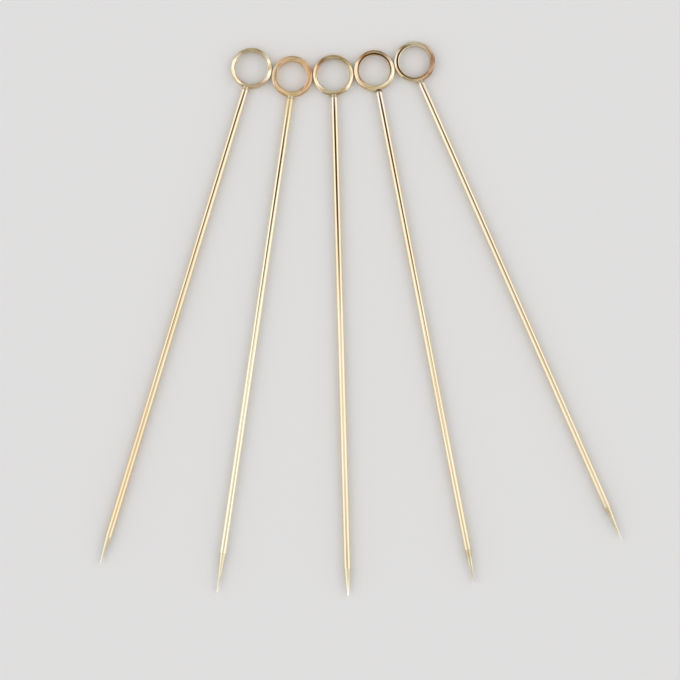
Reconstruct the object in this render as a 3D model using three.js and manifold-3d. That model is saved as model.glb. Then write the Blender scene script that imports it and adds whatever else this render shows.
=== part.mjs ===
// Five ring-top cocktail picks, laid side by side in a fan with their rings touching.
// Each pick is a straight round wire, ground to a point at one end. A short flat ring stands at the
// other end as its handle, and a small weld bead joins the wire's blunt end to the ring's outer wall.
// The picks lie on Z = 0, with the rings towards +Y and the points towards -Y.
import * as THREE from "three";
import { mergeVertices } from "three/addons/utils/BufferGeometryUtils.js";
import Module from "manifold-3d";

const wasm = await Module();
wasm.setup();

// Driving sizes, in millimetres
const pickLength = 110; // from the ring's far edge to the tip of the point
const wireDiameter = 1.5;
const wireEndRounding = 0.22; // round the rim of the blunt end
const tipRadius = 0.2; // the point is blunted, so that it pierces fruit but not a lip
const ringDiameter = 8.3; // outside
const ringWall = 1.1;
const ringHeight = 1.5;
const ringEdgeRounding = 0.2; // tumbled edges, inside and outside, top and bottom
const boreSlope = 26; // degrees, how steeply a ring's face falls from its crown to the bore
const weldRoot = 0.25; // space between the ring's wall and the wire's end, which the weld fills
const weldDiameter = 1.36; // where the bead meets the ring and the wire
const weldWaist = 0.06; // how far the bead draws in between them
const weldClearance = 0.02; // hairline between the bead and the two pieces that it joins
const ringGap = 0.08; // between the rings of two neighbouring picks

// What the hand that grinds, polishes, welds and lays them leaves different from pick to pick.
// lean is in degrees, and swings the point from straight down towards +X. extraLength adds to
// pickLength, and pointLength is the ground taper. wireOffset is how far the wire's axis passes to
// the right of the ring's centre. flatSide and flatBite are the facet that the grindstone left on the
// taper: its direction round the wire, in degrees from +X over the top, and how many degrees steeper
// than the cone it runs. boreWear is what polishing took off the ring's wall on the inside. The ring's
// face stands highest at its crown, which is so far from the bore, is rounded to crownRounding, and
// falls from there to the outer wall at faceSlope, in degrees.
const picks = [
  {
    lean: -17,
    extraLength: -0.6,
    pointLength: 5.8,
    wireOffset: 0,
    flatSide: 60,
    flatBite: 0.5,
    boreWear: 0.24,
    crown: 0.1,
    crownRounding: 0.14,
    faceSlope: 20,
  },
  {
    lean: -8.4,
    extraLength: 0,
    pointLength: 8.1,
    wireOffset: 0.25,
    flatSide: 50,
    flatBite: 0.7,
    boreWear: 0.02,
    crown: 0.2,
    crownRounding: 0.35,
    faceSlope: 13,
  },
  {
    lean: 1.6,
    extraLength: 0,
    pointLength: 5.7,
    wireOffset: 0.05,
    flatSide: 70,
    flatBite: 0.9,
    boreWear: 0.22,
    crown: 0.1,
    crownRounding: 0.14,
    faceSlope: 19,
  },
  {
    lean: 11,
    extraLength: 0.25,
    pointLength: 7.1,
    wireOffset: 0.1,
    flatSide: 95,
    flatBite: 0.7,
    boreWear: 0.1,
    crown: 0.2,
    crownRounding: 0.25,
    faceSlope: 19,
  },
  {
    lean: 23.7,
    extraLength: -0.1,
    pointLength: 7.3,
    wireOffset: -0.5,
    flatSide: 130,
    flatBite: 0.6,
    boreWear: 0.1,
    crown: 0.34,
    crownRounding: 0.5,
    faceSlope: 19,
  },
];

// Directions from each ring's centre to the next one's, in degrees from +X
const nextRingDirections = [-11.5, 2, 6.2, 12.5];

// Facets
const ringSides = 60;
const wireSides = 24;
const cornerSteps = 2; // along each rounded edge of a ring
const endSteps = 3; // along the rounding of a wire's blunt end
const tipSteps = 4; // along the rounding of a wire's tip
const weldSteps = 6; // along the weld bead

const ringRadius = ringDiameter / 2;
const wireRadius = wireDiameter / 2;
const wireStart = ringRadius + weldRoot; // from the ring's centre to the wire's blunt end
const thinnestWall = ringWall - Math.max(...picks.map((pick) => pick.boreWear));
const edgeRounding = Math.min(ringEdgeRounding, 0.4 * Math.min(thinnestWall, ringHeight));
const endRounding = Math.min(wireEndRounding, 0.8 * wireRadius);

const platedWire = new THREE.MeshStandardMaterial({
  color: 0xe8d4a8,
  roughness: 0.16,
  metalness: 1,
});
const platedRing = new THREE.MeshStandardMaterial({
  color: 0xe3c598,
  roughness: 0.24,
  metalness: 1,
});
const platedWeld = new THREE.MeshStandardMaterial({
  color: 0xc3a068,
  roughness: 0.38,
  metalness: 1,
});

// Points along an arc of a profile, where x is the distance from the axis and y runs along it.
function arc(centreX, centreY, radius, fromAngle, toAngle, steps) {
  return Array.from({ length: steps + 1 }, (_, step) => {
    const angle = fromAngle + ((toAngle - fromAngle) * step) / steps;
    const x = centreX + radius * Math.cos(angle);
    return new THREE.Vector2(x, centreY + radius * Math.sin(angle));
  });
}

// From the ring's centre to the tip of the point
function tipDistance(pick) {
  return pickLength + pick.extraLength - ringRadius;
}

// Where the centre of an edge's arc lies, at a distance x from the axis, for the straight that leaves
// the crown's arc at a tangent to run on into it. angle is the direction that the straight faces.
function edgeLevel(x, edge, crown, crownArc, angle) {
  return crown.y + ((crown.x - x) * Math.cos(angle) + crownArc - edge) / Math.sin(angle);
}

// The ring's section has a flat underside, an upright outer wall and bore, and a polished face that
// falls both ways from its crown. Its edges are rounded, and each straight meets the arcs at its ends
// at a tangent. grow makes the section larger all round.
function ringGeometry(pick, grow = 0) {
  const quarter = Math.PI / 2;
  const bore = ringRadius - ringWall + pick.boreWear;
  const outer = ringRadius - edgeRounding;
  const under = edgeRounding - ringHeight / 2;
  const outwards = quarter - THREE.MathUtils.degToRad(pick.faceSlope);
  const inwards = quarter + THREE.MathUtils.degToRad(boreSlope);
  const boreEdge = Math.min(edgeRounding, 0.7 * pick.crown);
  const crownRoom = (pick.crown - boreEdge * (1 + Math.cos(inwards))) / -Math.cos(inwards);
  const crownArc = Math.min(pick.crownRounding, crownRoom);
  const crown = new THREE.Vector2(bore + pick.crown, ringHeight / 2 - crownArc);
  const outerLevel = edgeLevel(outer, edgeRounding, crown, crownArc, outwards);
  const boreLevel = edgeLevel(bore + boreEdge, boreEdge, crown, crownArc, inwards);
  const section = [
    ...arc(outer, under, edgeRounding + grow, -quarter, 0, cornerSteps),
    ...arc(outer, outerLevel, edgeRounding + grow, 0, outwards, cornerSteps),
    ...arc(crown.x, crown.y, crownArc + grow, outwards, inwards, cornerSteps),
    ...arc(bore + boreEdge, boreLevel, boreEdge + grow, inwards, 2 * quarter, cornerSteps),
    ...arc(bore + edgeRounding, under, edgeRounding + grow, 2 * quarter, 3 * quarter, cornerSteps),
  ];
  section.push(section[0].clone());
  return new THREE.LatheGeometry(section, ringSides).rotateX(quarter);
}

// The wire lies along -Y. From the tip, its profile is a small ball end, the ground taper that runs
// off it at a tangent, the drawn wire, and the blunt end with a rounded rim. grow makes it fatter.
function wireGeometry(pick, grow = 0) {
  const wireTip = tipDistance(pick);
  const ballY = tipRadius - wireTip;
  const taperRun = pick.pointLength - tipRadius;
  const toBall = Math.hypot(wireRadius, taperRun);
  const taperAngle = Math.acos(tipRadius / toBall) - Math.atan2(taperRun, wireRadius);
  const profile = [
    ...arc(0, ballY, tipRadius + grow, -Math.PI / 2, -taperAngle, tipSteps),
    new THREE.Vector2(wireRadius + grow, pick.pointLength - wireTip),
    ...arc(
      wireRadius - endRounding,
      -wireStart - endRounding,
      endRounding + grow,
      0,
      Math.PI / 2,
      endSteps,
    ),
    new THREE.Vector2(0, grow - wireStart),
  ];
  profile[0].x = 0;
  return new THREE.LatheGeometry(profile, wireSides);
}

// What the flat side of the grindstone takes off the taper, as a block. Its lower face is the facet,
// which starts where the taper does.
function flatBlockGeometry(pick) {
  const cone = Math.atan2(wireRadius - tipRadius, pick.pointLength - tipRadius);
  const width = 2 * wireDiameter;
  const shoulder = tipDistance(pick) - pick.pointLength;
  return new THREE.BoxGeometry(width, 2 * pick.pointLength + width, width)
    .translate(0, -pick.pointLength, width / 2)
    .rotateX(cone + THREE.MathUtils.degToRad(pick.flatBite))
    .translate(0, -shoulder, wireRadius)
    .rotateY(THREE.MathUtils.degToRad(90 - pick.flatSide));
}

// A waisted barrel on the wire's axis, long enough to reach into both pieces before they are cut out
// of it. The ring's wall curves away from an offset wire, so its far end follows that curve's depth.
function weldBlankGeometry(wireOffset) {
  const beadRadius = weldDiameter / 2;
  const widest = Math.abs(wireOffset) + beadRadius;
  const ringEnd = edgeRounding - Math.sqrt(ringRadius ** 2 - widest ** 2);
  const wireEnd = -wireStart - endRounding;
  const side = Array.from({ length: weldSteps + 1 }, (_, step) => {
    const share = step / weldSteps;
    const radius = beadRadius - weldWaist * Math.sin(Math.PI * share);
    return new THREE.Vector2(radius, wireEnd + (ringEnd - wireEnd) * share);
  });
  const profile = [new THREE.Vector2(0, wireEnd), ...side, new THREE.Vector2(0, ringEnd)];
  return new THREE.LatheGeometry(profile, wireSides);
}

// A closed geometry as a solid that can be cut.
function solidOf(geometry) {
  geometry.deleteAttribute("normal");
  geometry.deleteAttribute("uv");
  const merged = mergeVertices(geometry, 1e-5);
  return new wasm.Manifold(
    new wasm.Mesh({
      numProp: 3,
      vertProperties: merged.attributes.position.array,
      triVerts: new Uint32Array(merged.index.array),
    }),
  );
}

// A cut solid as a geometry again.
function geometryOf(solid) {
  const { vertProperties, triVerts } = solid.getMesh();
  const geometry = new THREE.BufferGeometry();
  geometry.setAttribute("position", new THREE.BufferAttribute(vertProperties, 3));
  geometry.setIndex(new THREE.BufferAttribute(triVerts, 1));
  geometry.computeVertexNormals();
  return geometry;
}

// The wire with its facet ground on.
function groundWireGeometry(pick) {
  return geometryOf(solidOf(wireGeometry(pick)).subtract(solidOf(flatBlockGeometry(pick))));
}

// The bead that is left between the ring and the wire, coped to both with a hairline clearance.
function weldGeometry(pick) {
  const blank = solidOf(weldBlankGeometry(pick.wireOffset).translate(pick.wireOffset, 0, 0));
  const ring = solidOf(ringGeometry(pick, weldClearance));
  const wire = solidOf(wireGeometry(pick, weldClearance).translate(pick.wireOffset, 0, 0));
  return geometryOf(blank.subtract(ring).subtract(wire));
}

function namedMesh(name, geometry, material) {
  const mesh = new THREE.Mesh(geometry, material);
  mesh.name = name;
  return mesh;
}

// One pick in its own frame: the ring's centre is at the origin and the wire runs along -Y.
function makePick(name, pick) {
  const wire = namedMesh(`${name}_wire`, groundWireGeometry(pick), platedWire);
  wire.position.x = pick.wireOffset;
  const ring = namedMesh(`${name}_ring`, ringGeometry(pick), platedRing);
  const weld = namedMesh(`${name}_weld`, weldGeometry(pick), platedWeld);
  return new THREE.Group().add(wire, ring, weld);
}

// Lays a pick on Z = 0. A ring taller than the wire is thick tips the pick about the ring's lower
// edge until the wire meets the table where its taper begins.
function layDown(body, pick) {
  const tippingEdge = ringRadius - edgeRounding;
  const rise = Math.max(0, (ringHeight - wireDiameter) / 2);
  const tilt = Math.atan2(rise, tipDistance(pick) - pick.pointLength - tippingEdge);
  const ringLevel = tippingEdge * Math.sin(tilt) + (ringHeight / 2) * Math.cos(tilt);
  body.rotation.x = tilt;
  body.position.z = Math.max(wireRadius, ringLevel);
}

const fan = new THREE.Group();
const ringCentre = new THREE.Vector2();
picks.forEach((pick, index) => {
  const body = makePick(`pick_${index + 1}`, pick);
  layDown(body, pick);
  const placed = new THREE.Group().add(body);
  placed.position.set(ringCentre.x, ringCentre.y, 0);
  placed.rotation.z = THREE.MathUtils.degToRad(pick.lean);
  fan.add(placed);
  if (index < nextRingDirections.length) {
    const direction = THREE.MathUtils.degToRad(nextRingDirections[index]);
    const step = ringDiameter + ringGap;
    ringCentre.x += step * Math.cos(direction);
    ringCentre.y += step * Math.sin(direction);
  }
});

// The fan's outline is centred on the Z axis.
fan.updateMatrixWorld(true);
const middle = new THREE.Box3().setFromObject(fan, true).getCenter(new THREE.Vector3());
fan.position.set(-middle.x, -middle.y, 0);

const cocktailPicks = new THREE.Group().add(fan);

export default cocktailPicks;
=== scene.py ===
import math
import bpy
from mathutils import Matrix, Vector


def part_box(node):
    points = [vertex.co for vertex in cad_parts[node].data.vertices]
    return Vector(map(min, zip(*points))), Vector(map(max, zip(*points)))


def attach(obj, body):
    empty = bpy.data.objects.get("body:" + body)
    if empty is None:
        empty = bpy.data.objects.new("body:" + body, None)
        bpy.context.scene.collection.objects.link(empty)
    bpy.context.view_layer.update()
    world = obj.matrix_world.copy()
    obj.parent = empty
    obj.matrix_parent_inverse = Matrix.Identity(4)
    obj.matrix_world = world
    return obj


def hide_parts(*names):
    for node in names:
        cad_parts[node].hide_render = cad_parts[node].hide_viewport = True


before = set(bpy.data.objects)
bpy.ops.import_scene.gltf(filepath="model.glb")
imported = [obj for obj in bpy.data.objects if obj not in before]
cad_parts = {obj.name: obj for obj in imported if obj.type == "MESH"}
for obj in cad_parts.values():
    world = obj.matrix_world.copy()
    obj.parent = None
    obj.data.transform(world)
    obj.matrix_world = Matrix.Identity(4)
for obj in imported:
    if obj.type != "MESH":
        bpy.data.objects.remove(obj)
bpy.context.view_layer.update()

mm = 0.001

# Five ring-top cocktail picks: polished stainless wire, ground to a point and welded to a small ring,
# then vacuum plated in champagne gold. Every size below is in millimetres until it reaches Blender.

# What differs from pick to pick. lean swings the point towards +X, and wireOffset is the wire's axis
# against the ring's centre. hollow is how far the grinder dished the taper, or left it full if below
# zero, and flat is the facet that it left: its direction round the wire from +X over the top, and how
# many degrees steeper than the cone it runs. blend is how pale the plating is already just before the
# taper, and stain a brown patch on its first millimetres: how strong, and its direction round the wire.
# boreWear is what polishing took off the ring's wall inside. The ring's face stands highest at its
# crown, so far from the bore, rounded to crownRounding, and falls outwards at slope degrees. land is the
# crescent that polishing left flat outside the crown: the direction where it is widest, and its width
# there. seed picks the mottling. straw is how yellow the weld's heat left the plating, against rosy, and
# heat how far that reaches down the wire. warmth is how golden the plating is at the ring and at the
# point. peach, khaki and brown are the ring's tinted stretches, and satin its duller ones, or shinier
# ones below zero: a direction from +X, a spread and a strength each.
# the khaki stretches are partly the weld's heat tint and partly painted reflection: those at 90 and 270
# degrees, the ring's top and bottom, stand in for the dim gap overhead that the face mirrors there
picks = [
    {"lean": -17.0, "length": 109.4, "pointLength": 5.8, "wireOffset": 0.0, "hollow": 0.0,
     "flat": (60, 0.5), "blend": 0.8, "stain": (0.0, 90),
     "boreWear": 0.24, "crown": 0.1, "crownRounding": 0.14, "slope": 20, "land": (180, 0.04),
     "seed": 1.7, "straw": 0.4, "heat": 0.8, "warmth": (0.3, 0.95),
     "peach": [(290, 25, 0.5), (190, 30, 0.2)],
     "khaki": [(90, 35, 0.8), (265, 30, 0.5)],
     "brown": [(305, 16, 0.35)],
     "satin": []},
    {"lean": -8.4, "length": 110.0, "pointLength": 8.1, "wireOffset": 0.25, "hollow": 0.06,
     "flat": (50, 0.7), "blend": 0.1, "stain": (0.0, 90),
     "boreWear": 0.02, "crown": 0.2, "crownRounding": 0.35, "slope": 13, "land": (180, 0.02),
     "seed": 4.2, "straw": 1.0, "heat": 6.0, "warmth": (0.1, 0.0),
     "peach": [(30, 70, 1.0), (330, 50, 0.9), (240, 45, 0.8), (125, 40, 0.8), (180, 30, 0.2)],
     "khaki": [(90, 18, 0.5), (270, 22, 1.0)],
     "brown": [(305, 15, 0.3)],
     "satin": [(0, 300, 0.35)]},
    {"lean": 1.6, "length": 110.0, "pointLength": 5.7, "wireOffset": 0.05, "hollow": -0.03,
     "flat": (70, 0.9), "blend": 0.1, "stain": (0.0, 90),
     "boreWear": 0.22, "crown": 0.1, "crownRounding": 0.14, "slope": 19, "land": (100, 0.04),
     "seed": 8.9, "straw": 0.1, "heat": 0.8, "warmth": (0.35, 0.45),
     "peach": [(150, 35, 0.7), (190, 25, 0.3)],
     "khaki": [(90, 35, 0.8), (270, 35, 0.6)],
     "brown": [(130, 18, 0.7)],
     "satin": []},
    {"lean": 11.0, "length": 110.25, "pointLength": 7.1, "wireOffset": 0.1, "hollow": 0.02,
     "flat": (95, 0.7), "blend": 0.4, "stain": (0.5, 100),
     "boreWear": 0.1, "crown": 0.09, "crownRounding": 0.08, "slope": 19, "land": (95, 0.34),
     "seed": 12.4, "straw": 0.0, "heat": 5.0, "warmth": (0.3, 0.5),
     "peach": [(200, 50, 0.6), (110, 50, 0.7), (30, 25, 0.4)],
     "khaki": [(90, 30, 0.4), (270, 25, 1.0)],
     "brown": [(50, 22, 0.4), (145, 14, 0.4)],
     "satin": [(270, 40, 0.3), (95, 65, -0.09)]},
    {"lean": 23.7, "length": 109.9, "pointLength": 7.3, "wireOffset": -0.5, "hollow": 0.03,
     "flat": (130, 0.6), "blend": 0.5, "stain": (0.45, 150),
     "boreWear": 0.1, "crown": 0.22, "crownRounding": 0.12, "slope": 19, "land": (180, 0.36),
     "seed": 17.3, "straw": 0.1, "heat": 1.5, "warmth": (0.3, 0.5),
     "peach": [(0, 60, 0.3), (300, 40, 0.6)],
     "khaki": [(250, 40, 0.2), (135, 30, 0.3)],
     "brown": [(0, 50, 0.9), (325, 30, 0.5)],
     "satin": [(0, 65, 0.3), (80, 35, 0.2), (190, 50, -0.08)]},
]

ringRadius = 4.15
wireStart = ringRadius + 0.25  # where the wire's blunt end stands, from the ring's centre
hair = 0.001  # far below anything that shows
sharpAngle = 35  # an edge that turns more than this stays crisp

# how the plating changes along a wire, in millimetres
platingReach = {
    "worn": 1.8,  # the tip's plating is worn over about this length
    "blend": 0.1,  # the bare tone begins at most this far before the taper
    "stainMiddle": 0.9,  # a stain lies this far past the taper's start
    "stainSpread": 1.3,
}


def tipDistance(pick):
    # from the ring's centre to the tip
    return pick["length"] - ringRadius


def taperStart(pick):
    return tipDistance(pick) - pick["pointLength"]


# small helpers for modelling

def deselectAll():
    if bpy.context.object and bpy.context.object.mode != "OBJECT":
        bpy.ops.object.mode_set(mode="OBJECT")
    bpy.ops.object.select_all(action="DESELECT")


def onlySelect(piece):
    deselectAll()
    piece.select_set(True)
    bpy.context.view_layer.objects.active = piece


def selectFaces(piece, wanted):
    # leaves the piece in edit mode with just the faces for which wanted(face) holds
    onlySelect(piece)
    bpy.ops.object.mode_set(mode="EDIT")
    bpy.ops.mesh.select_mode(type="FACE")
    bpy.ops.mesh.select_all(action="DESELECT")
    bpy.ops.object.mode_set(mode="OBJECT")
    for face in piece.data.polygons:
        face.select = wanted(face)
    bpy.ops.object.mode_set(mode="EDIT")


def growAlong(axis, start, stations):
    # extrudes what is selected from station to station; each is (distance along axis, radius)
    here, radius = start
    for there, nextRadius in stations:
        move = axis * (there - here)
        bpy.ops.mesh.extrude_region_move(TRANSFORM_OT_translate={"value": tuple(move)})
        if nextRadius != radius:
            share = nextRadius / radius
            acrossAxis = [share if abs(part) < 0.5 else 1.0 for part in axis]
            bpy.ops.transform.resize(value=tuple(acrossAxis), center_override=tuple(axis * there))
        here, radius = there, nextRadius


def keepValue(mesh, name, value):
    # stores value(place in mm) at each vertex, for the materials to read
    attribute = mesh.attributes.new(name, "FLOAT", "POINT")
    for vertex in mesh.vertices:
        attribute.data[vertex.index].value = value(vertex.co / mm)


def warmthAt(pick, place):
    share = min(max(-place.y / tipDistance(pick), 0), 1)
    atRing, atPoint = pick["warmth"]
    return atRing + (atPoint - atRing) * share


def heatAt(pick, place):
    # 1 at the weld, fading down the wire
    away = max(-wireStart - place.y, 0)
    return math.exp(-away / pick["heat"])


def wornAt(pick, place):
    # the tip's plating is worn off to bare steel
    away = tipDistance(pick) + place.y
    return math.exp(-max(away, 0) / platingReach["worn"])


def baredAt(pick, place):
    # the pale bare tone of the ground point, which may begin to show before it
    past = -place.y - taperStart(pick)
    if past > -hair:
        return 1.0
    return pick["blend"] if past > -platingReach["blend"] else 0.0


def stainAt(pick, place):
    strength, direction = pick["stain"]
    past = -place.y - taperStart(pick)
    side = math.cos(math.atan2(place.z, place.x - pick["wireOffset"]) - math.radians(direction))
    fade = math.exp(-((past - platingReach["stainMiddle"]) / platingReach["stainSpread"]) ** 2)
    return strength * fade * max(side, 0)


def tintAt(pick, tint, place):
    # a ring's tint by direction, from +X in the finished layout
    direction = math.degrees(math.atan2(place.y, place.x)) + pick["lean"]
    total = 0
    for middle, spread, strength in pick[tint]:
        away = (direction - middle + 180) % 360 - 180
        total += strength * math.exp(-(away / spread) ** 2)
    return min(total, 1)


def finishPiece(piece, name, number):
    # names the piece, keeps its own pick's coordinates for the patterns, and lays it in its place
    onlySelect(piece)
    bpy.ops.object.transform_apply(location=True, rotation=True, scale=True)
    bpy.ops.object.mode_set(mode="EDIT")
    bpy.ops.mesh.select_all(action="SELECT")
    bpy.ops.mesh.normals_make_consistent(inside=False)
    bpy.ops.object.mode_set(mode="OBJECT")
    bpy.ops.object.shade_smooth_by_angle(angle=math.radians(sharpAngle))
    piece.name = name
    piece.data.name = name
    pick, mesh = picks[number], piece.data
    own = mesh.attributes.new("pickSpace", "FLOAT_VECTOR", "POINT")  # in mm, ring centre at 0
    for vertex in mesh.vertices:
        own.data[vertex.index].vector = vertex.co / mm
    keepValue(mesh, "pickSeed", lambda place: pick["seed"])
    keepValue(mesh, "straw", lambda place: pick["straw"])
    keepValue(mesh, "weldHeat", lambda place: heatAt(pick, place))
    keepValue(mesh, "worn", lambda place: wornAt(pick, place))
    keepValue(mesh, "warmth", lambda place: warmthAt(pick, place))
    keepValue(mesh, "bared", lambda place: baredAt(pick, place))
    keepValue(mesh, "stain", lambda place: stainAt(pick, place))
    keepValue(mesh, "ground", lambda place: float(-place.y > taperStart(pick) - hair))
    for tint in ("peach", "khaki", "brown", "satin"):
        keepValue(mesh, tint, lambda place: tintAt(pick, tint, place))
    low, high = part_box(f"pick_{number + 1}_ring")
    piece.location = (Vector(low) + Vector(high)) / 2
    piece.rotation_euler = (0, 0, math.radians(pick["lean"]))
    bpy.ops.object.transform_apply(location=True, rotation=True, scale=True)
    body = f"pick_{number + 1}"
    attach(piece, body)


# the wire

wire = {
    "radius": 0.75,
    "sides": 72,
    "endRounding": 0.22,
    "endSteps": 6,
    "tipRadius": 0.2,
    "tipSteps": 6,
    "taperSteps": 12,
    "lengthSteps": 20,
    "taperEdge": 0.04,  # the grinder leaves a crisp line this wide where the taper begins
    "tipFlat": (0.002, 0.024),  # how far short of the tip the last loop stands, and its radius
    "endLoop": 0.4,  # the loop within the blunt end's flat, as a share of the flat
    "cutThreshold": 1e-8,  # in metres, so that the facet's cut merges nothing
}


def wireTaper(pick):
    # stations down the ground taper and round the tip, as (distance from the ring's centre, radius)
    ball, radius, wireTip = wire["tipRadius"], wire["radius"], tipDistance(pick)
    run = pick["pointLength"] - ball
    reach = math.hypot(radius, run)
    lean = math.acos(ball / reach) - math.atan2(run, radius)
    start = taperStart(pick)
    end, endRadius = wireTip - ball + ball * math.sin(lean), ball * math.cos(lean)
    stations = [(start - wire["taperEdge"], radius), (start, radius - hair)]
    for step in range(1, wire["taperSteps"] + 1):
        share = step / wire["taperSteps"]
        hollow = pick["hollow"] * math.sin(math.pi * share)
        straight = radius + (endRadius - radius) * share
        stations.append((start + (end - start) * share, straight - hollow))
    for step in range(1, wire["tipSteps"]):
        angle = lean + (math.pi / 2 - lean) * step / wire["tipSteps"]
        stations.append((wireTip - ball + ball * math.sin(angle), ball * math.cos(angle)))
    short, lastRadius = wire["tipFlat"]
    stations.append((wireTip - short, lastRadius))
    return stations


def wireEnd():
    # stations round the rim of the blunt end, from the wire's side to its flat
    rounding = wire["endRounding"]
    core = wire["radius"] - rounding
    stations = []
    for step in range(1, wire["endSteps"] + 1):
        angle = math.pi / 2 * step / wire["endSteps"]
        inwards = rounding - rounding * math.sin(angle)
        stations.append((-wireStart - inwards, core + rounding * math.cos(angle)))
    stations.append((-wireStart, core * wire["endLoop"]))
    return stations


def scaled(stations):
    return [(along * mm, radius * mm) for along, radius in stations]


def grindFlat(pick):
    # cuts the facet along the taper, from where the taper begins
    direction, bite = pick["flat"]
    side = math.radians(direction)
    cone = math.atan2(wire["radius"] - wire["tipRadius"], pick["pointLength"] - wire["tipRadius"])
    steep = cone + math.radians(bite)
    facing = (math.cos(steep) * math.cos(side), -math.sin(steep), math.cos(steep) * math.sin(side))
    shoulder = -taperStart(pick)
    start = Vector((wire["radius"] * math.cos(side), shoulder, wire["radius"] * math.sin(side))) * mm
    bpy.ops.mesh.select_all(action="SELECT")
    bpy.ops.mesh.bisect(plane_co=start, plane_no=facing, clear_outer=True, use_fill=True,
                        threshold=wire["cutThreshold"])
    bpy.ops.mesh.mark_sharp()


def makeWire(number):
    pick = picks[number]
    taper = wireTaper(pick)
    begin = wireStart + wire["endRounding"]
    stretch = (taper[0][0] - begin) / wire["lengthSteps"]
    deselectAll()
    bpy.ops.mesh.primitive_cylinder_add(
        vertices=wire["sides"], radius=wire["radius"] * mm, depth=stretch * mm,
        location=(0, -(begin + stretch / 2) * mm, 0), rotation=(math.pi / 2, 0, 0))
    piece = bpy.context.object
    bpy.ops.object.transform_apply(location=True, rotation=True, scale=True)
    selectFaces(piece, lambda face: face.normal.y < -0.9)
    straight = [(begin + stretch * step, wire["radius"]) for step in range(2, wire["lengthSteps"])]
    growAlong(Vector((0, -1, 0)), ((begin + stretch) * mm, wire["radius"] * mm), scaled(straight + taper))
    selectFaces(piece, lambda face: face.normal.y > 0.9)
    growAlong(Vector((0, 1, 0)), (-begin * mm, wire["radius"] * mm), scaled(wireEnd()))
    grindFlat(pick)
    bpy.ops.object.mode_set(mode="OBJECT")
    # the facet is the one long face with many corners, apart from the two ends
    facet = piece.data.attributes.new("facet", "FLOAT", "FACE")
    for face in piece.data.polygons:
        facet.data[face.index].value = float(len(face.vertices) > 6 and abs(face.normal.y) < 0.5)
    piece.location.x = pick["wireOffset"] * mm
    finishPiece(piece, f"pick_{number + 1}_drawn_wire", number)
    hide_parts(f"pick_{number + 1}_wire")
    return piece


# the ring

ring = {
    "wall": 1.1,
    "height": 1.5,
    "sides": 160,
    "rounding": 0.2,
    "roundingSteps": 6,
    "boreSlope": 26,  # how steeply the face falls from its crown to the bore
    "boreEdgeShare": 0.7,  # the bore's rounding stays under this share of the crown's distance
    "shadeLoops": (0.08, 0.92),  # extra loops near both ends of each straight keep its shading flat
    "mergeWithin": 1e-7,  # in metres, for closing the section's last loop on its first
}


def roundCorner(x, z, rounding, fromAngle, toAngle):
    steps = ring["roundingSteps"]
    angles = [math.radians(fromAngle + (toAngle - fromAngle) * step / steps) for step in range(steps + 1)]
    return [(x + rounding * math.cos(angle), z + rounding * math.sin(angle)) for angle in angles]


def edgeLevel(x, edge, crown, crownArc, angle):
    # where the centre of an edge's arc lies, for the straight that leaves the crown's arc at a
    # tangent, facing angle, to run on into it
    facing = math.radians(angle)
    return crown[1] + ((crown[0] - x) * math.cos(facing) + crownArc - edge) / math.sin(facing)


def ringSection(pick):
    # closed section as (distance from the axis, height, share of the land's shift): flat underside,
    # outer wall, face, land, crown and bore
    outer, bore = ringRadius - ring["rounding"], ringRadius - ring["wall"] + pick["boreWear"]
    rounding, under = ring["rounding"], ring["rounding"] - ring["height"] / 2
    outwards, inwards = 90 - pick["slope"], 90 + ring["boreSlope"]
    boreEdge = min(rounding, ring["boreEdgeShare"] * pick["crown"])
    back = -math.cos(math.radians(inwards))
    crownArc = min(pick["crownRounding"], (pick["crown"] - boreEdge * (1 - back)) / back)
    crown = (bore + pick["crown"], ring["height"] / 2 - crownArc)
    landEnd = (crown[0] + pick["land"][1] / 2, crown[1])
    rimLevel = edgeLevel(outer, rounding, landEnd, crownArc, outwards)
    boreLevel = edgeLevel(bore + boreEdge, boreEdge, crown, crownArc, inwards)
    corners = [
        (0, roundCorner(outer, under, rounding, -90, 0)),
        (0, roundCorner(outer, rimLevel, rounding, 0, outwards)),
        (1, roundCorner(landEnd[0], landEnd[1], crownArc, outwards, 90)),
        (0, roundCorner(crown[0], crown[1], crownArc, 90, inwards)),
        (0, roundCorner(bore + boreEdge, boreLevel, boreEdge, inwards, 180)),
        (0, roundCorner(bore + rounding, under, rounding, 180, 270)),
    ]
    section = []
    for (shift, corner), (nextShift, following) in zip(corners, corners[1:] + corners[:1]):
        start, end = Vector((*corner[-1], shift)), Vector((*following[0], nextShift))
        section += [(*place, shift) for place in corner]
        section += [tuple(start.lerp(end, share)) for share in ring["shadeLoops"]]
    return section


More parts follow.
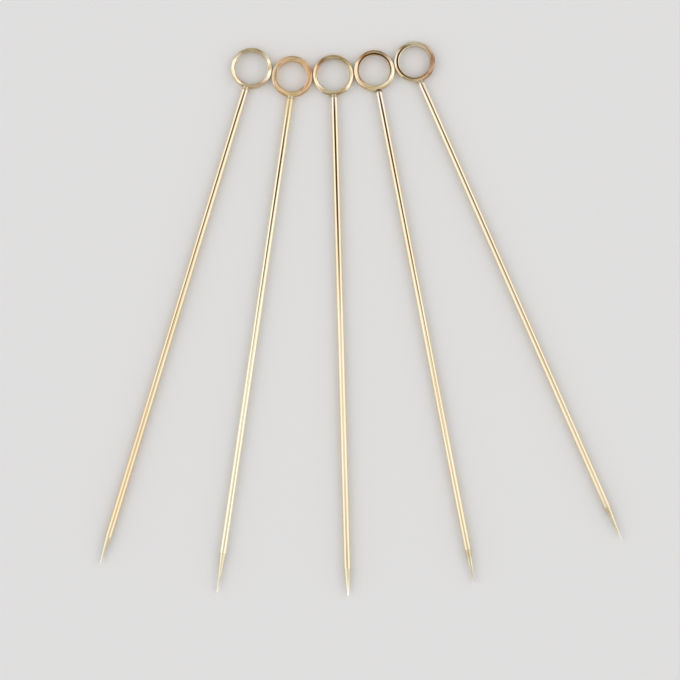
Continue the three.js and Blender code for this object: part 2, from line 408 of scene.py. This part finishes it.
def makeRing(number):
    pick = picks[number]
    section = [(r * mm, z * mm, shift) for r, z, shift in ringSection(pick)]
    towards, width = pick["land"]
    turn = math.radians(towards - pick["lean"])
    landShift = Vector((math.cos(turn), math.sin(turn), 0)) * (width / 2 * mm)
    radius, height, shift = section[0]
    deselectAll()
    bpy.ops.mesh.primitive_circle_add(vertices=ring["sides"], radius=radius, location=(0, 0, height))
    piece = bpy.context.object
    bpy.ops.object.transform_apply(location=True, rotation=True, scale=True)
    bpy.ops.object.mode_set(mode="EDIT")
    bpy.ops.mesh.select_mode(type="VERT")
    bpy.ops.mesh.select_all(action="SELECT")
    for nextRadius, nextHeight, nextShift in section[1:] + section[:1]:
        move = landShift * (nextShift - shift) + Vector((0, 0, nextHeight - height))
        middle = landShift * nextShift + Vector((0, 0, nextHeight))
        bpy.ops.mesh.extrude_region_move(TRANSFORM_OT_translate={"value": tuple(move)})
        share = nextRadius / radius
        bpy.ops.transform.resize(value=(share, share, 1), center_override=tuple(middle))
        radius, height, shift = nextRadius, nextHeight, nextShift
    bpy.ops.mesh.select_all(action="SELECT")
    bpy.ops.mesh.remove_doubles(threshold=ring["mergeWithin"])
    bpy.ops.mesh.normals_make_consistent(inside=False)
    bpy.ops.object.mode_set(mode="OBJECT")
    finishPiece(piece, f"pick_{number + 1}_ring_handle", number)
    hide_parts(f"pick_{number + 1}_ring")
    return piece


# the weld bead

weld = {
    "toeRadius": 0.74,
    "waistRadius": 0.69,
    "sides": 64,
    "steps": 14,
    "lapIntoRing": 0.25,  # the bead is fused into both pieces, so it runs on inside them
    "lapIntoWire": 0.12,
    "ripples": 3,
    "ripple": 0.012,
    "slice": 0.02,  # the disc from which the bead is grown
    "heatAndShadeUpTo": 0.08,  # the dark tone, partly burnt and partly painted shade, is full this far before the ring's wall
}


def makeBead():
    # the bead on the axis of a wire, ready to be copied
    start = -(wireStart + weld["lapIntoWire"])
    end = -(ringRadius - weld["lapIntoRing"])
    deselectAll()
    bpy.ops.mesh.primitive_cylinder_add(
        vertices=weld["sides"], radius=weld["waistRadius"] * mm, depth=weld["slice"] * mm,
        location=(0, (start + weld["slice"] / 2) * mm, 0), rotation=(math.pi / 2, 0, 0))
    piece = bpy.context.object
    bpy.ops.object.transform_apply(location=True, rotation=True, scale=True)
    waist = weld["toeRadius"] - weld["waistRadius"]
    stations = []
    for step in range(1, weld["steps"] + 1):
        share = step / weld["steps"]
        ripple = weld["ripple"] * math.sin(weld["ripples"] * 2 * math.pi * share)
        radius = weld["toeRadius"] - waist * math.sin(math.pi * share) + ripple
        stations.append((start + (end - start) * share, radius))
    selectFaces(piece, lambda face: face.normal.y > 0.9)
    sliceEnd = start + weld["slice"]
    growAlong(Vector((0, 1, 0)), (sliceEnd * mm, weld["waistRadius"] * mm), scaled(stations))
    bpy.ops.object.mode_set(mode="OBJECT")
    return piece


def makeWeld(number, bead):
    onlySelect(bead)
    bpy.ops.object.duplicate()
    piece = bpy.context.object
    piece.location.x = picks[number]["wireOffset"] * mm
    finishPiece(piece, f"pick_{number + 1}_weld_bead", number)
    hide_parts(f"pick_{number + 1}_weld")
    return piece


# materials

def linearColour(hexCode):
    channels = [int(hexCode[i:i + 2], 16) / 255 for i in (1, 3, 5)]
    return [c / 12.92 if c <= 0.04045 else ((c + 0.055) / 1.055) ** 2.4 for c in channels] + [1.0]


def addNode(tree, kind, settings=None, links=None):
    # adds a node; settings are its own properties or its sockets' values, links its inputs' sources
    node = tree.nodes.new(kind)
    for key, value in (settings or {}).items():
        if isinstance(key, int) or key in node.inputs:
            node.inputs[key].default_value = value
        else:
            setattr(node, key, value)
    for key, source in (links or {}).items():
        tree.links.new(source, node.inputs[key])
    return node


def newMaterial(name):
    material = bpy.data.materials.new(name)
    material.use_nodes = True
    tree = material.node_tree
    tree.nodes.clear()
    return material, tree


def makePlatedWire():
    # Champagne-gold vacuum plating on drawn and polished stainless wire: a mirror-like metal, more
    # golden in some picks and towards some points, with faint draw lines along it. The ground point
    # is paler and duller, with the grinder's marks across it.
    material, tree = newMaterial("champagne plated drawn wire")
    own = addNode(tree, "ShaderNodeAttribute", {"attribute_name": "pickSpace"})
    seed = addNode(tree, "ShaderNodeAttribute", {"attribute_name": "pickSeed"})
    warmth = addNode(tree, "ShaderNodeAttribute", {"attribute_name": "warmth"})
    # draw lines, really 0.02 mm apart, drawn 0.15 mm apart so that they show
    stretched = addNode(tree, "ShaderNodeMapping", {"Scale": (6.5, 0.12, 6.5)},
                        {"Vector": own.outputs["Vector"]})
    lines = addNode(tree, "ShaderNodeTexNoise", {"noise_dimensions": "4D", "Scale": 1.0, "Detail": 3.0},
                    {"Vector": stretched.outputs[0], "W": seed.outputs["Fac"]})
    # the plating's tone drifts along the wire over about 15 mm
    tone = addNode(tree, "ShaderNodeTexNoise", {"noise_dimensions": "4D", "Scale": 0.07, "Detail": 2.0},
                   {"Vector": own.outputs["Vector"], "W": seed.outputs["Fac"]})
    drift = addNode(tree, "ShaderNodeMapRange",
                    {"From Min": 0.3, "From Max": 0.7, "To Min": -0.15, "To Max": 0.15},
                    {"Value": tone.outputs["Fac"]})
    golden = addNode(tree, "ShaderNodeMath", {"operation": "ADD", "use_clamp": True},
                     {0: warmth.outputs["Fac"], 1: drift.outputs[0]})
    gold = addNode(tree, "ShaderNodeMix",
                   {"data_type": "RGBA", 6: linearColour("#F4EBD4"), 7: linearColour("#EAD1A9")},
                   {0: golden.outputs[0]})
    # next to the weld, its heat left the wire rosy or yellow, and a little dull where it is yellow
    heat = addNode(tree, "ShaderNodeAttribute", {"attribute_name": "weldHeat"})
    straw = addNode(tree, "ShaderNodeAttribute", {"attribute_name": "straw"})
    heatTone = addNode(tree, "ShaderNodeMix",
                       {"data_type": "RGBA", 6: linearColour("#F5E8DE"), 7: linearColour("#F2DCB0")},
                       {0: straw.outputs["Fac"]})
    tinted = addNode(tree, "ShaderNodeMix", {"data_type": "RGBA"},
                     {0: heat.outputs["Fac"], 6: gold.outputs[2], 7: heatTone.outputs[2]})
    dulled = addNode(tree, "ShaderNodeMath", {"operation": "MULTIPLY"},
                     {0: heat.outputs["Fac"], 1: straw.outputs["Fac"]})
    haze = addNode(tree, "ShaderNodeMapRange", {"To Max": 0.36}, {"Value": dulled.outputs[0]})
    # the grinder's marks, really 0.05 mm apart, drawn 0.12 mm apart so that they show
    ground = addNode(tree, "ShaderNodeAttribute", {"attribute_name": "ground"})
    crossed = addNode(tree, "ShaderNodeMapping", {"Scale": (1.2, 8.0, 1.2)},
                      {"Vector": own.outputs["Vector"]})
    marks = addNode(tree, "ShaderNodeTexNoise", {"noise_dimensions": "4D", "Scale": 1.0, "Detail": 2.0},
                    {"Vector": crossed.outputs[0], "W": seed.outputs["Fac"]})
    coneTone = addNode(tree, "ShaderNodeMix",
                       {"data_type": "RGBA", 6: linearColour("#D3C9A6"), 7: linearColour("#F0E6CE")},
                       {0: marks.outputs["Fac"]})
    # the facet was ground last, and the plating is thin and khaki there; its darker khaki is partly
    # painted shade, standing in for the duller reflection on that side of the taper
    facet = addNode(tree, "ShaderNodeAttribute", {"attribute_name": "facet"})
    facetKhakiAndShade = addNode(tree, "ShaderNodeMix",
                        {"data_type": "RGBA", 6: linearColour("#A89D78"), 7: linearColour("#D2C9A8")},
                        {0: marks.outputs["Fac"]})
    groundTone = addNode(tree, "ShaderNodeMix", {"data_type": "RGBA"},
                         {0: facet.outputs["Fac"], 6: coneTone.outputs[2], 7: facetKhakiAndShade.outputs[2]})
    # a brown stain past the taper's start, and bare steel at the tip
    worn = addNode(tree, "ShaderNodeAttribute", {"attribute_name": "worn"})
    stain = addNode(tree, "ShaderNodeAttribute", {"attribute_name": "stain"})
    stained = addNode(tree, "ShaderNodeMix", {"data_type": "RGBA", 7: linearColour("#A08050")},
                      {0: stain.outputs["Fac"], 6: groundTone.outputs[2]})
    bareTone = addNode(tree, "ShaderNodeMix", {"data_type": "RGBA", 7: linearColour("#F1EBE3")},
                       {0: worn.outputs["Fac"], 6: stained.outputs[2]})
    bared = addNode(tree, "ShaderNodeAttribute", {"attribute_name": "bared"})
    colour = addNode(tree, "ShaderNodeMix", {"data_type": "RGBA"},
                     {0: bared.outputs["Fac"], 6: tinted.outputs[2], 7: bareTone.outputs[2]})
    shaftRoughness = addNode(tree, "ShaderNodeMapRange",
                             {"From Min": 0.3, "From Max": 0.7, "To Min": 0.04, "To Max": 0.09},
                             {"Value": lines.outputs["Fac"]})
    pointRoughness = addNode(tree, "ShaderNodeMapRange",
                             {"From Min": 0.3, "From Max": 0.7, "To Min": 0.14, "To Max": 0.24},
                             {"Value": marks.outputs["Fac"]})
    hazed = addNode(tree, "ShaderNodeMath", {"operation": "ADD"},
                    {0: shaftRoughness.outputs[0], 1: haze.outputs[0]})
    roughness = addNode(tree, "ShaderNodeMix", {"data_type": "FLOAT"},
                        {0: ground.outputs["Fac"], 2: hazed.outputs[0], 3: pointRoughness.outputs[0]})
    relief = addNode(tree, "ShaderNodeMix", {"data_type": "FLOAT"},
                     {0: ground.outputs["Fac"], 2: lines.outputs["Fac"], 3: marks.outputs["Fac"]})
    bump = addNode(tree, "ShaderNodeBump", {"Strength": 1.0, "Distance": 0.0000012},
                   {"Height": relief.outputs[0]})
    metal = addNode(tree, "ShaderNodeBsdfPrincipled", {"Metallic": 1.0},
                    {"Base Color": colour.outputs[2], "Roughness": roughness.outputs[0],
                     "Normal": bump.outputs[0]})
    addNode(tree, "ShaderNodeOutputMaterial", links={0: metal.outputs[0]})
    return material


def makePlatedRing():
    # The same plating on a ring parted off from tube and polished round its face: fine concentric
    # lines, and stretches of peach and khaki where the plating took on the heat of the weld. The khaki
    # is partly painted reflection: at the ring's top and bottom it stands in for the dim gap overhead.
    material, tree = newMaterial("champagne plated turned ring")
    own = addNode(tree, "ShaderNodeAttribute", {"attribute_name": "pickSpace"})
    seed = addNode(tree, "ShaderNodeAttribute", {"attribute_name": "pickSeed"})
    peach = addNode(tree, "ShaderNodeAttribute", {"attribute_name": "peach"})
    khaki = addNode(tree, "ShaderNodeAttribute", {"attribute_name": "khaki"})
    brown = addNode(tree, "ShaderNodeAttribute", {"attribute_name": "brown"})
    apart = addNode(tree, "ShaderNodeSeparateXYZ", links={0: own.outputs["Vector"]})
    flat = addNode(tree, "ShaderNodeCombineXYZ", links={"X": apart.outputs["X"], "Y": apart.outputs["Y"]})
    outwards = addNode(tree, "ShaderNodeVectorMath", {"operation": "NORMALIZE"}, {0: flat.outputs[0]})
    distance = addNode(tree, "ShaderNodeVectorMath", {"operation": "LENGTH"}, {0: flat.outputs[0]})
    across = addNode(tree, "ShaderNodeMath", {"operation": "ADD"},
                     {0: distance.outputs["Value"], 1: apart.outputs["Z"]})
    around = addNode(tree, "ShaderNodeSeparateXYZ", links={0: outwards.outputs[0]})
    # polishing lines, really finer than 0.05 mm, drawn 0.15 mm apart so that they show
    acrossFine = addNode(tree, "ShaderNodeMath", {"operation": "MULTIPLY", 1: 7.0}, {0: across.outputs[0]})
    ringSpace = addNode(tree, "ShaderNodeCombineXYZ",
                        links={"X": acrossFine.outputs[0], "Y": around.outputs["X"],
                               "Z": around.outputs["Y"]})
    lines = addNode(tree, "ShaderNodeTexNoise", {"noise_dimensions": "4D", "Scale": 1.0, "Detail": 2.0},
                    {"Vector": ringSpace.outputs[0], "W": seed.outputs["Fac"]})
    # the tinted stretches have cloudy borders about 1 mm deep
    cloud = addNode(tree, "ShaderNodeTexNoise", {"noise_dimensions": "4D", "Scale": 0.8, "Detail": 3.0},
                    {"Vector": own.outputs["Vector"], "W": seed.outputs["Fac"]})
    ragged = addNode(tree, "ShaderNodeMapRange",
                     {"From Min": 0.3, "From Max": 0.7, "To Min": 0.55, "To Max": 1.2},
                     {"Value": cloud.outputs["Fac"]})
    peachShare = addNode(tree, "ShaderNodeMath", {"operation": "MULTIPLY", "use_clamp": True},
                         {0: peach.outputs["Fac"], 1: ragged.outputs[0]})
    # khaki share: partly heat tint, partly painted reflection of the dim overhead gap at the ring's top
    # and bottom
    khakiAndReflectionShare = addNode(tree, "ShaderNodeMath", {"operation": "MULTIPLY", "use_clamp": True},
                         {0: khaki.outputs["Fac"], 1: ragged.outputs[0]})
    brownShare = addNode(tree, "ShaderNodeMath", {"operation": "MULTIPLY", "use_clamp": True},
                         {0: brown.outputs["Fac"], 1: ragged.outputs[0]})
    toPeach = addNode(tree, "ShaderNodeMix",
                      {"data_type": "RGBA", 6: linearColour("#F3EAD3"), 7: linearColour("#EFC79B")},
                      {0: peachShare.outputs[0]})
    toKhakiAndReflection = addNode(tree, "ShaderNodeMix", {"data_type": "RGBA", 7: linearColour("#DCC690")},
                      {0: khakiAndReflectionShare.outputs[0], 6: toPeach.outputs[2]})
    toBrown = addNode(tree, "ShaderNodeMix", {"data_type": "RGBA", 7: linearColour("#B08C74")},
                      {0: brownShare.outputs[0], 6: toKhakiAndReflection.outputs[2]})
    # where the polishing went round, darker streaks about 0.2 mm wide and a few millimetres long
    acrossWide = addNode(tree, "ShaderNodeMath", {"operation": "MULTIPLY", 1: 4.0}, {0: across.outputs[0]})
    streakSpace = addNode(tree, "ShaderNodeCombineXYZ",
                          links={"X": acrossWide.outputs[0], "Y": around.outputs["X"],
                                 "Z": around.outputs["Y"]})
    streaks = addNode(tree, "ShaderNodeTexNoise", {"noise_dimensions": "4D", "Scale": 1.3, "Detail": 1.0},
                      {"Vector": streakSpace.outputs[0], "W": seed.outputs["Fac"]})
    streakShare = addNode(tree, "ShaderNodeMapRange", {"From Min": 0.5, "From Max": 0.58, "To Max": 0.9},
                          {"Value": streaks.outputs["Fac"]})
    streaked = addNode(tree, "ShaderNodeMix",
                       {"data_type": "RGBA", "blend_type": "MULTIPLY", 7: linearColour("#CFBC9C")},
                       {0: streakShare.outputs[0], 6: toBrown.outputs[2]})
    roughness = addNode(tree, "ShaderNodeMapRange",
                        {"From Min": 0.3, "From Max": 0.7, "To Min": 0.09, "To Max": 0.18},
                        {"Value": lines.outputs["Fac"]})
    satin = addNode(tree, "ShaderNodeAttribute", {"attribute_name": "satin"})
    dulled = addNode(tree, "ShaderNodeMath", {"operation": "ADD"},
                     {0: roughness.outputs[0], 1: satin.outputs["Fac"]})
    bump = addNode(tree, "ShaderNodeBump", {"Strength": 1.0, "Distance": 0.0000045},
                   {"Height": lines.outputs["Fac"]})
    metal = addNode(tree, "ShaderNodeBsdfPrincipled", {"Metallic": 1.0},
                    {"Base Color": streaked.outputs[2], "Roughness": dulled.outputs[0],
                     "Normal": bump.outputs[0]})
    addNode(tree, "ShaderNodeOutputMaterial", links={0: metal.outputs[0]})
    return material


def makeWeldMetal():
    # Resistance-welded steel under the same plating: duller, straw to brown, with a fine cast skin.
    # The less straw the heat left, the browner the bead is where it meets the ring. That dark brown
    # is partly heat tint and partly painted shade of the narrow gap between the bead and the ring.
    material, tree = newMaterial("plated weld metal")
    own = addNode(tree, "ShaderNodeAttribute", {"attribute_name": "pickSpace"})
    seed = addNode(tree, "ShaderNodeAttribute", {"attribute_name": "pickSeed"})
    skin = addNode(tree, "ShaderNodeTexNoise", {"noise_dimensions": "4D", "Scale": 5.0, "Detail": 4.0},
                   {"Vector": own.outputs["Vector"], "W": seed.outputs["Fac"]})
    straw = addNode(tree, "ShaderNodeAttribute", {"attribute_name": "straw"})
    apart = addNode(tree, "ShaderNodeSeparateXYZ", links={0: own.outputs["Vector"]})
    atRing = addNode(tree, "ShaderNodeMapRange",
                     {"interpolation_type": "SMOOTHSTEP", "From Min": -wireStart,
                      "From Max": -ringRadius - weld["heatAndShadeUpTo"]},
                     {"Value": apart.outputs["Y"]})
    rosy = addNode(tree, "ShaderNodeMapRange",
                   {"From Min": 0.0, "From Max": 0.15, "To Min": 0.9, "To Max": 0.0},
                   {"Value": straw.outputs["Fac"]})
    # painted shade: the bead darkens to brown towards the ring's wall, partly heat tint and partly the
    # shade in the gap there
    heatTintAndShade = addNode(tree, "ShaderNodeMath", {"operation": "MULTIPLY"},
                    {0: atRing.outputs[0], 1: rosy.outputs[0]})
    tones = addNode(tree, "ShaderNodeMix",
                    {"data_type": "RGBA", 6: linearColour("#BDAE84"), 7: linearColour("#F0E4C4")},
                    {0: skin.outputs["Fac"]})
    colour = addNode(tree, "ShaderNodeMix", {"data_type": "RGBA", 7: linearColour("#54403E")},
                     {0: heatTintAndShade.outputs[0], 6: tones.outputs[2]})
    roughness = addNode(tree, "ShaderNodeMapRange", {"To Min": 0.15, "To Max": 0.4},
                        {"Value": skin.outputs["Fac"]})
    bump = addNode(tree, "ShaderNodeBump", {"Strength": 1.0, "Distance": 0.00001},
                   {"Height": skin.outputs["Fac"]})
    metal = addNode(tree, "ShaderNodeBsdfPrincipled", {"Metallic": 1.0},
                    {"Base Color": colour.outputs[2], "Roughness": roughness.outputs[0],
                     "Normal": bump.outputs[0]})
    addNode(tree, "ShaderNodeOutputMaterial", links={0: metal.outputs[0]})
    return material


def makeFloorBoard():
    # Matt painted board: even and pale, with a trace of roller texture about 1 mm across.
    material, tree = newMaterial("pale matt board")
    place = addNode(tree, "ShaderNodeTexCoord")
    grain = addNode(tree, "ShaderNodeTexNoise", {"Scale": 900.0, "Detail": 3.0},
                    {"Vector": place.outputs["Object"]})
    bump = addNode(tree, "ShaderNodeBump", {"Strength": 0.15, "Distance": 0.0001},
                   {"Height": grain.outputs["Fac"]})
    paint = addNode(tree, "ShaderNodeBsdfPrincipled",
                    {"Roughness": 0.75, "Base Color": linearColour("#F3F4F7")},
                    {"Normal": bump.outputs[0]})
    addNode(tree, "ShaderNodeOutputMaterial", links={0: paint.outputs[0]})
    return material


# the pieces

wireMetal, ringMetal, weldMetal = makePlatedWire(), makePlatedRing(), makeWeldMetal()
bead = makeBead()
for number in range(len(picks)):
    makeWire(number).data.materials.append(wireMetal)
    makeRing(number).data.materials.append(ringMetal)
    makeWeld(number, bead).data.materials.append(weldMetal)
    print("pick", number + 1, "made")
onlySelect(bead)
bpy.ops.object.delete()

# floor, lights, camera

floor = {"size": 16.0}  # so wide that its edge stays out of a low view
deselectAll()
bpy.ops.mesh.primitive_plane_add(size=floor["size"], location=(0, 0, 0))
board = bpy.context.object
board.name = "table_board"
board.data.materials.append(makeFloorBoard())

studio = {
    "sides": 0.92,  # brightness of the tent's left and right walls
    "wallColour": "#FFFFFF",
    "slotInner": 0.36,  # the gap between them overhead, as the sine of the angle from upright
    "slotOuter": 0.64,
    "lampLevel": 0.92,  # from here outwards the walls have lampGain times their brightness
    "lampGain": 1.2,
    # along the gap from the points' side to the rings' side: sine of the angle, brightness, tone
    "gap": [(-0.60, 0.50, "#FFFBF4"), (-0.46, 0.55, "#FFFBF4"), (-0.36, 1.00, "#FFFDFA"),
            (-0.21, 1.00, "#FFFDFA"), (-0.14, 0.56, "#FFF9EE"), (-0.10, 0.80, "#FFFBF4"),
            (-0.05, 0.95, "#FFFDFA"), (0.0, 0.93, "#FFFDFA"), (0.02, 0.82, "#FFF6E6"),
            (0.035, 0.56, "#FFEACB"), (0.055, 0.24, "#FFDAA8"), (0.075, 0.08, "#FFC07E"),
            (0.18, 0.08, "#FFC07E"), (0.26, 0.30, "#FFF0DC"), (0.36, 0.75, "#FFFBF4"),
            (0.60, 0.62, "#FFFBF4"), (0.80, 0.48, "#FFFBF4")],
}
world = bpy.data.worlds.new("light tent")
bpy.context.scene.world = world
world.use_nodes = True
sky = world.node_tree
sky.nodes.clear()
looking = addNode(sky, "ShaderNodeTexCoord")
facing = addNode(sky, "ShaderNodeSeparateXYZ", links={0: looking.outputs["Generated"]})
sideways = addNode(sky, "ShaderNodeMath", {"operation": "ABSOLUTE"}, {0: facing.outputs["X"]})
toWall = addNode(sky, "ShaderNodeMapRange",
                 {"interpolation_type": "SMOOTHSTEP", "From Min": studio["slotInner"],
                  "From Max": studio["slotOuter"]},
                 {"Value": sideways.outputs[0]})
reach = studio["gap"][-1][0]
alongGap = addNode(sky, "ShaderNodeMapRange", {"From Min": -reach, "From Max": reach},
                   {"Value": facing.outputs["Y"]})
gapRamp = addNode(sky, "ShaderNodeValToRGB", links={0: alongGap.outputs[0]})
stops = gapRamp.color_ramp.elements
for step, (place, level, tone) in enumerate(studio["gap"]):
    if step >= len(stops):
        stops.new(1.0)
    stops[step].position = (place + reach) / (2 * reach)
    stops[step].color = [part * level for part in linearColour(tone)[:3]] + [1.0]
wallTone = [part * studio["sides"] for part in linearColour(studio["wallColour"])[:3]] + [1.0]
tentTone = addNode(sky, "ShaderNodeMix", {"data_type": "RGBA", 7: wallTone},
                   {0: toWall.outputs[0], 6: gapRamp.outputs[0]})
# the walls are brightest low down, where the lamps behind them stand
lowDown = addNode(sky, "ShaderNodeMapRange",
                  {"From Min": studio["slotOuter"], "From Max": studio["lampLevel"], "To Min": 1.0,
                   "To Max": studio["lampGain"]},
                  {"Value": sideways.outputs[0]})
tent = addNode(sky, "ShaderNodeBackground",
               links={"Color": tentTone.outputs[2], "Strength": lowDown.outputs[0]})
addNode(sky, "ShaderNodeOutputWorld", links={0: tent.outputs[0]})

softboxes = {
    "left": {"at": (-0.62, 0.0, 0.62), "size": (1.0, 0.45), "power": 0.6, "colour": "#FFFCF9"},
    "right": {"at": (0.62, 0.0, 0.62), "size": (1.0, 0.45), "power": 0.6, "colour": "#FFFEFA"},
}
for name, box in softboxes.items():
    bpy.ops.object.light_add(type="AREA", location=box["at"])
    lamp = bpy.context.object
    lamp.name = f"softbox_{name}"
    lamp.data.shape = "RECTANGLE"
    lamp.data.size, lamp.data.size_y = box["size"]
    lamp.data.energy = box["power"]
    lamp.data.color = linearColour(box["colour"])[:3]
    lamp.rotation_euler = (-lamp.location).to_track_quat("-Z", "Y").to_euler()

# the camera looks straight down, over a point given from the middle ring's centre
view = {
    "right": 1.36,
    "below": 53.80,
    "height": 360.0,  # above level, where fieldWidth is seen
    "level": 0.9,
    "fieldWidth": 138.17,
    "sensor": 36,
}
low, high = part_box("pick_3_ring")
above = (Vector(low) + Vector(high)) / 2 + Vector((view["right"], -view["below"], 0)) * mm
above.z = (view["height"] + view["level"]) * mm
bpy.ops.object.camera_add(location=above, rotation=(0, 0, 0))
camera = bpy.context.object
camera.name = "overhead_camera"
camera.data.sensor_width = view["sensor"]
camera.data.lens = view["sensor"] * view["height"] / view["fieldWidth"]
camera.data.clip_start = 0.01
bpy.context.scene.camera = camera
bpy.context.scene.view_settings.view_transform = "Standard"
print("studio made")
